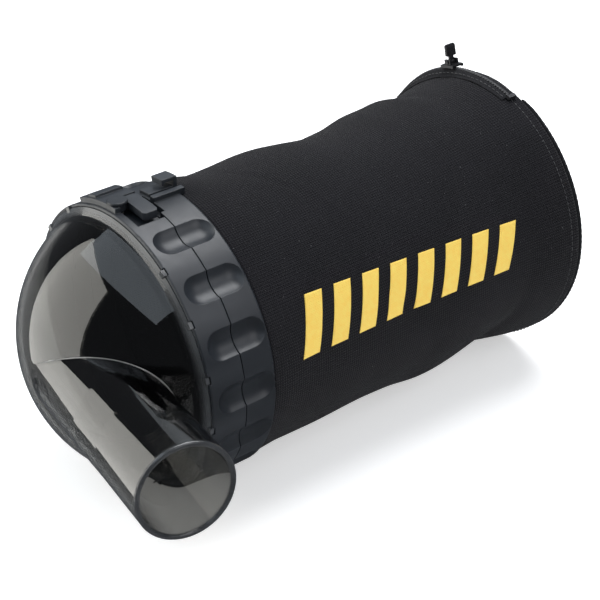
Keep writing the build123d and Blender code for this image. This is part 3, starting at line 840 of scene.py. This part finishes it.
def make_tape(name, node, first, last, seed):
    """One ribbed zip tape between two stations, from the teeth to where it is sewn on."""
    angles = np.linspace(ZIP_START, ZIP_END, 520)
    stations = np.linspace(first, last, 14)
    angles, stations = np.meshgrid(angles, stations, indexing="ij")
    across = (stations - first) / (last - first)
    outer_edge = across if last > ZIP_STATION else 1 - across
    wave = 0.10 * np.sin(np.radians(angles) * 31 + seed) + 0.07 * np.sin(np.radians(angles) * 74 + 2.1 * seed)
    edge_wave = 0.22 * outer_edge * np.sin(np.radians(angles) * 17 + 3.0 * seed)
    drift = 0.25 * outer_edge * np.sin(np.radians(angles) * 9.0 + seed) * (1 if last > ZIP_STATION else -1)
    rib = 0.05 * np.cos(across * 2 * math.pi * 4)
    top = tape_top(stations, angles, first, last) + (wave * 0.4 + 0.4 * edge_wave) * outer_edge + rib
    under = top - TAPE_THICKNESS
    shape = [ring_points(stations + drift, radius, angles) for radius in (top, under)]
    for points in shape:
        points[..., 2] = np.maximum(points[..., 2], FLOOR + 0.2 * MM)
    uvs = np.stack([np.radians(angles) * TAPE_RADIUS * MM, stations * MM], axis=-1)
    tape = shell_object(name, shape[0], shape[1], False, MATERIALS["tape"], uvs)
    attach(tape, "bag")
    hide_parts(node)


TOOTH_PITCH = 1.5
TOOTH_OUTLINE = (
    # reach over the zip's middle, half length round the bag and half height, in mm
    (-1.3, 0.30, 0.22),
    (-0.9, 0.42, 0.38),
    (-0.2, 0.50, 0.46),
    (0.35, 0.52, 0.48),
    (0.62, 0.42, 0.40),
    (0.75, 0.2, 0.2),
)


def make_teeth():
    """Two rows of moulded nylon loops that mesh with each other."""
    step = math.degrees(TOOTH_PITCH / (TAPE_RADIUS + 0.8))
    vertices, faces = [], []
    sides = 8
    count = 0
    angle = ZIP_START + 0.4
    while angle < ZIP_END - 0.4:
        facing = 1 if count % 2 else -1
        out, run = radial(angle), tangent(angle)
        start = len(vertices)
        height = TAPE_RADIUS + 0.48 - float(zip_dip(angle))
        for reach, half_run, half_high in TOOTH_OUTLINE:
            middle = np.array(place((ZIP_STATION + facing * reach) * MM, height * MM, angle))
            for index in range(sides):
                turn = 2 * math.pi * index / sides
                sideways = run * (half_run * 1.05 * MM * math.cos(turn))
                vertices.append(middle + sideways + out * (half_high * MM * math.sin(turn)))
        for face in grid_faces(len(TOOTH_OUTLINE), sides, True):
            faces.append(tuple(start + i for i in face))
        faces.append(tuple(start + i for i in reversed(range(sides))))
        faces.append(tuple(start + (len(TOOTH_OUTLINE) - 1) * sides + i for i in range(sides)))
        angle += step / 2
        count += 1
    teeth = make_object("zip_teeth", vertices, faces, MATERIALS["teeth"])
    fix_normals(teeth)
    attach(teeth, "bag")
    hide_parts("zip_coil")


RIBBON_RIBS = 8
RIBBON_HALF_WIDTH = 2.45 * MM
RIBBON_GAP = 0.48 * MM
RIBBON_THICKNESS = 0.56 * MM
RIBBON_STEPS = 90


def make_ribbon():
    """Ribbed tape folded over the zip's pull."""
    box_low, box_high = (np.array(corner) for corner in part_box("pull_ribbon"))
    middle = (box_low + box_high) / 2
    pin = np.array(JOINTS["zip_pull_flip"]["pos_m"])
    up = middle - pin
    up[0] = 0
    up /= np.linalg.norm(up)
    out = np.cross(ALONG, up)
    bottom, top = 2.9 * MM, 6.9 * MM
    rows = []
    straight = top - bottom
    bend = math.pi * (RIBBON_GAP + RIBBON_THICKNESS / 2)
    total = 2 * straight + bend
    for step in range(RIBBON_STEPS + 1):
        share = step / RIBBON_STEPS
        run = share * total
        if run < straight:
            spot, direction = up * (bottom + run), -out
        elif run > straight + bend:
            spot, direction = up * (bottom + total - run), out
        else:
            turn = math.pi * (run - straight) / bend
            spot = up * top
            direction = -out * math.cos(turn) + up * math.sin(turn)
        rib = 0.11 * MM * math.cos(2 * math.pi * share * RIBBON_RIBS * 2)
        rows.append((spot, direction, rib, run))
    columns = np.linspace(-1, 1, 9)
    outer, inner, uvs = [], [], []
    for spot, direction, rib, run in rows:
        outer_row, inner_row, uv_row = [], [], []
        for column in columns:
            edge = 0.12 * MM * column**6
            sway = 0.15 * MM * math.sin(run / MM * 0.7)
            base = pin + spot + ALONG * (column * RIBBON_HALF_WIDTH + sway * 0.4)
            outer_row.append(base + direction * (RIBBON_GAP + RIBBON_THICKNESS + rib - edge))
            inner_row.append(base + direction * (RIBBON_GAP + 0.02 * MM))
            uv_row.append((run, column * RIBBON_HALF_WIDTH))
        outer.append(outer_row)
        inner.append(inner_row)
        uvs.append(uv_row)
    outer, inner, uvs = np.array(outer), np.array(inner), np.array(uvs)
    ribbon = shell_object("pull_ribbon_tape", outer, inner, False, MATERIALS["tape"], uvs)
    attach(ribbon, "pull")
    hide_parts("pull_ribbon")


# Raised line where the side tube runs out of the dome

DOME_CENTRE = BASE + Vector((0.02445, 0, 0))
DOME_RADIUS = 0.06085
TUBE_ROOT_RADIUS = 0.0194


def seam_material():
    nodes = Nodes("clear_plastic_seam_line")
    shade = nodes.noise(160.0, 3.0, 0.5)
    colour = nodes.mix(nodes.span(shade, 0.35, 0.7, 0.0, 1.0), (0.10, 0.10, 0.098), (0.24, 0.24, 0.235))
    nodes.principled(Base_Color=colour, Roughness=nodes.span(shade, 0.3, 0.75, 0.12, 0.3))
    return nodes.material


def make_root_seam():
    """Fine raised line that follows the tube's outside over the dome, thinning out at both ends."""
    way = np.array(TUBE_WAY)
    first = np.cross(way, ALONG)
    first /= np.linalg.norm(first)
    second = np.cross(way, first)
    dome = np.array(DOME_CENTRE)
    spots = []
    for turn in np.linspace(0.0, 2 * math.pi, 361)[:-1]:
        start = np.array(TUBE_ROOT) + TUBE_ROOT_RADIUS * (math.cos(turn) * first + math.sin(turn) * second)
        offset = start - dome
        along = offset @ way
        inside = along * along - offset @ offset + DOME_RADIUS**2
        reach = -along + math.sqrt(inside) if inside > 0 else 0.0
        spots.append(start + way * reach if reach > 0.002 else None)
    gap = max(range(len(spots)), key=lambda index: spots[index] is None and spots[index - 1] is not None)
    ordered = [spot for spot in spots[gap:] + spots[:gap] if spot is not None]
    line = np.array(ordered)
    count = len(line)
    along = np.gradient(line, axis=0)
    frames = []
    for point, run in zip(line, along):
        out = (point - dome) / np.linalg.norm(point - dome)
        side = np.cross(run / np.linalg.norm(run), out)
        frames.append((out, side / np.linalg.norm(side)))
    from_end = np.minimum(np.arange(count), np.arange(count)[::-1]) / 14.0
    radius = (0.06 + 0.24 * np.clip(from_end, 0, 1)) * MM
    seam = tube_along("tube_root_seam_line", list(line), frames, radius, seam_material(), sides=8)
    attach(seam, "head")


# Print on the bag: plain slanted bars

BAR_COUNT = 8
BAR_AREA = (49.5, 166.0)
BAR_TOP = (59.5, 65.5)
BAR_BOTTOM = (83.5, 84.5)
BAR_SLANT = 7.0
BAR_SHARE = 0.58
INK_LIFT = 0.16
INK_THICKNESS = 0.1 * MM


def make_print():
    """Thin bars of ink that lie on the cloth."""
    pitch = (BAR_AREA[1] - BAR_AREA[0]) / BAR_COUNT
    vertices, faces, uvs = [], [], []
    rows, columns = 30, 14
    for bar in range(BAR_COUNT):
        first = BAR_AREA[0] + bar * pitch
        last = first + pitch * BAR_SHARE
        start = len(vertices)
        down, along = np.meshgrid(np.linspace(0, 1, rows), np.linspace(0, 1, columns), indexing="ij")
        stations = first + along * (last - first) + BAR_SLANT * (0.5 - down)
        share = (stations - BAR_AREA[0]) / (BAR_AREA[1] - BAR_AREA[0])
        top = BAR_TOP[0] + share * (BAR_TOP[1] - BAR_TOP[0])
        bottom = BAR_BOTTOM[0] + share * (BAR_BOTTOM[1] - BAR_BOTTOM[0])
        angles = top + down * (bottom - top)
        points = bag_points(stations, angles, -INK_LIFT)
        threads = thread_uvs(stations, angles)
        vertices.extend(points.reshape(-1, 3))
        uvs.extend(threads.reshape(-1, 2))
        faces.extend(tuple(start + i for i in face) for face in grid_faces(rows, columns, False))
    ink = make_object("printed_bars", vertices, faces, MATERIALS["print"], uvs=uvs)
    thickness = ink.modifiers.new("ink_thickness", "SOLIDIFY")
    thickness.thickness = INK_THICKNESS
    thickness.offset = 0.0
    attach(ink, "bag")


# Stage: floor, lights and world

FLOOR_SIZE = 60
FLOOR_GAP = 0.0004


def make_stage():
    bpy.ops.mesh.primitive_grid_add(x_subdivisions=4, y_subdivisions=4, size=FLOOR_SIZE)
    floor = bpy.context.object
    floor.name = "studio_floor"
    floor.location.z = FLOOR - FLOOR_GAP
    nodes = Nodes("pale_floor")
    nodes.principled(
        Base_Color=(0.90, 0.90, 0.90, 1.0), Roughness=0.9,
        Emission_Color=(1.0, 1.0, 1.0, 1.0), Emission_Strength=0.5,
    )
    floor.data.materials.append(nodes.material)
    floor.visible_glossy = False


LAMPS = (
    # name, azimuth and height in degrees, distance, size, radiance, colour, the way its first side runs
    ("left_softbox", 140, 8.5, 0.9, (1.42, 0.99), 3.0, (1.0, 0.985, 0.93), (0.082, 0.091, 0.993)),
    ("overhead_band", 166, 62, 1.1, (2.1, 0.46), 1.45, (0.80, 0.90, 1.0), (-0.295, -1.329, 0.207)),
    ("back_strip", 54, 24, 1.2, (0.5, 0.4), 0.65, (0.85, 0.93, 1.0), (0, 0, 1)),
    ("front_fill", -72, 40, 1.6, (0.9, 1.1), 2.1, (0.98, 0.98, 1.0), (0, 0, 1)),
    ("top_fill", 20, 66, 1.6, (1.1, 1.1), 6.5, (0.97, 0.98, 1.0), (0, 0, 1)),
)
WORLD_COLOUR = (0.30, 0.32, 0.35, 1.0)
WORLD_STRENGTH = 0.35


def lamp(name, azimuth, elevation, distance, size, radiance, colour, long_way):
    """Rectangular softbox facing the object."""
    data = bpy.data.lights.new(name, "AREA")
    data.shape = "RECTANGLE"
    data.size, data.size_y = size
    data.energy = radiance * math.pi * size[0] * size[1]
    data.color = colour
    holder = bpy.data.objects.new(name, data)
    bpy.context.scene.collection.objects.link(holder)
    away = Vector(heading(azimuth, elevation)).normalized()
    run = Vector(long_way)
    run = (run - away * run.dot(away)).normalized()
    side = away.cross(run)
    turn = Matrix((run, side, away)).transposed()
    holder.location = BASE + away * distance
    holder.rotation_mode = "QUATERNION"
    holder.rotation_quaternion = turn.to_quaternion()


def heading(azimuth, elevation):
    """Direction from its compass angle, from +X towards +Y, and its height, in degrees."""
    turn, rise = math.radians(azimuth), math.radians(elevation)
    return (math.cos(rise) * math.cos(turn), math.cos(rise) * math.sin(turn), math.sin(rise))


def make_lights():
    for settings in LAMPS:
        lamp(*settings)
    world = bpy.data.worlds.new("studio")
    world.use_nodes = True
    background = world.node_tree.nodes["Background"]
    background.inputs["Color"].default_value = WORLD_COLOUR
    background.inputs["Strength"].default_value = WORLD_STRENGTH
    bpy.context.scene.world = world
    bpy.context.scene.view_settings.view_transform = "Standard"


make_camera()
make_lights()
make_stage()
dress_cad_nodes()
make_bag()
make_neck()
make_end()
make_piping()
make_tape("zip_tape_inner_side", "zip_tape_sleeve", *TAPE_STATIONS[0], 0.4)
make_tape("zip_tape_outer_side", "zip_tape_panel", *TAPE_STATIONS[1], 1.9)
make_teeth()
make_ribbon()
make_root_seam()
make_stitches()
make_print()

bpy.context.view_layer.update()
